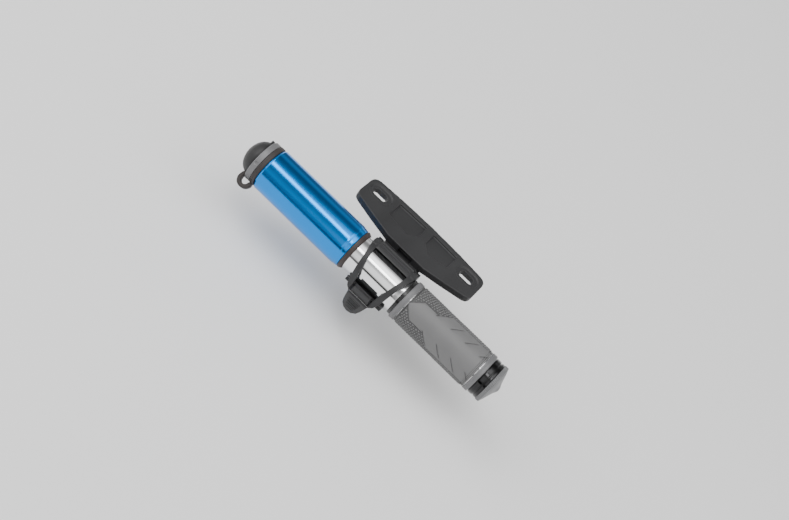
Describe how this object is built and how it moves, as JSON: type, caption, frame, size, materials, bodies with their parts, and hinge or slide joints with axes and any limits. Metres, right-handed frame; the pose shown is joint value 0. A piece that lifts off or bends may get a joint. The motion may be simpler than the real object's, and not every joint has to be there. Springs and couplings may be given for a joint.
{
  "type": "bicycle mini pump",
  "caption": "Short telescoping bicycle hand pump with a blue sleeve, grey rubber grip, hidden hose under a tethered dust cap, strapped in a side bracket that fits under a bottle cage.",
  "frame": {"origin": "centre of the two-slot bolt pattern on the underside of the bracket plate", "axes": "+X along the pump towards the grip end cap, +Z out of the bracket plate away from the bicycle tube, pump on the -Y side"},
  "size_m": [0.1821, 0.0654, 0.0303],
  "materials": {
    "anodised_sleeve": "gloss blue anodised aluminium with long soft reflections",
    "polished_barrel": "polished bright aluminium",
    "wiper_plastic": "dark matt plastic",
    "grey_collar": "satin grey",
    "small_steel": "dull steel",
    "tether_rubber": "matt black rubber",
    "inner_plastic": "plain moulded plastic",
    "seal_rubber": "smooth black rubber",
    "rod_tube": "bright drawn tube",
    "turned_brass": "turned brass",
    "hose_rubber": "black hose rubber",
    "plated_fitting": "bright plated",
    "chuck_metal": "satin turned aluminium",
    "cap_rubber": "soft matt black rubber",
    "gap_black": "black",
    "grip_rubber": "mid grey moulded rubber",
    "chrome_band": "mirror chrome",
    "cap_grey": "satin grey",
    "bracket_nylon": "fine-grained black nylon",
    "strap_rubber": "matt black rubber"
  },
  "bodies": {
    "bracket": {"bracket_body": "bracket_nylon", "cradle_pad": "seal_rubber", "strap_anchor": "strap_rubber"},
    "strap": {"strap": "strap_rubber"},
    "barrel": {"inner_barrel": "polished_barrel", "barrel_gland": "turned_brass", "gland_oring": "seal_rubber", "barrel_end_plug": "turned_brass", "end_plug_oring": "seal_rubber", "gap_ring": "gap_black", "grip_front_collar": "grey_collar", "rubber_grip": "grip_rubber", "grip_rear_collar": "grey_collar", "chrome_band_inner": "chrome_band", "chrome_band_outer": "chrome_band", "band_spacers": "gap_black", "end_cap": "cap_grey"},
    "handle": {"outer_sleeve": "anodised_sleeve", "wiper_ring": "wiper_plastic", "end_collar": "grey_collar", "collar_set_screw": "small_steel", "tether_ring": "tether_rubber", "tether_pin": "small_steel", "rod_anchor": "inner_plastic", "hose_gland_oring": "seal_rubber", "piston_rod": "rod_tube", "piston_head": "inner_plastic", "piston_seal": "seal_rubber", "ball_retainer": "turned_brass", "bumper_ring": "seal_rubber"},
    "valve_ball": {"check_ball": "small_steel"},
    "hose": {"air_hose": "hose_rubber", "hose_inner_stop": "turned_brass", "hose_stop_oring": "seal_rubber", "hose_nipple": "plated_fitting"},
    "chuck": {"thread_lock_chuck": "chuck_metal", "chuck_gasket": "seal_rubber"},
    "cap": {"dust_cap": "cap_rubber"}
  },
  "joints": [
    {"name": "pump_lift", "type": "slide", "parent": "bracket", "child": "barrel", "axis": [0, -0.7771, 0.6293], "range_m": [0, 0.022]},
    {"name": "strap_swing", "type": "hinge", "parent": "bracket", "child": "strap", "pos_m": [-0.0006, -0.02812, 0.00494], "axis": [-1, 0, 0], "range_deg": [0, 140]},
    {"name": "pump_stroke", "type": "slide", "parent": "barrel", "child": "handle", "axis": [-1, 0, 0], "range_m": [0, 0.096]},
    {"name": "hose_pull", "type": "slide", "parent": "handle", "child": "hose", "axis": [-1, 0, 0], "range_m": [0, 0.054]},
    {"name": "cap_flip", "type": "hinge", "parent": "handle", "child": "cap", "pos_m": [-0.0869, -0.04667, -0.01858], "axis": [0, -0.7193, 0.6947], "range_deg": [0, 175]},
    {"name": "chuck_spin", "type": "hinge", "parent": "hose", "child": "chuck", "pos_m": [-0.081, -0.035, -0.0065], "axis": [1, 0, 0], "continuous": true},
    {"name": "valve_lift", "type": "slide", "parent": "handle", "child": "valve_ball", "axis": [-1, 0, 0], "range_m": [0, 0.0006]}
  ],
  "couplings": [
    {"joint": "strap_swing", "follows": "pump_lift", "rad_per_m": 111},
    {"joint": "cap_flip", "follows": "hose_pull", "rad_per_m": 56.5}
  ]
}
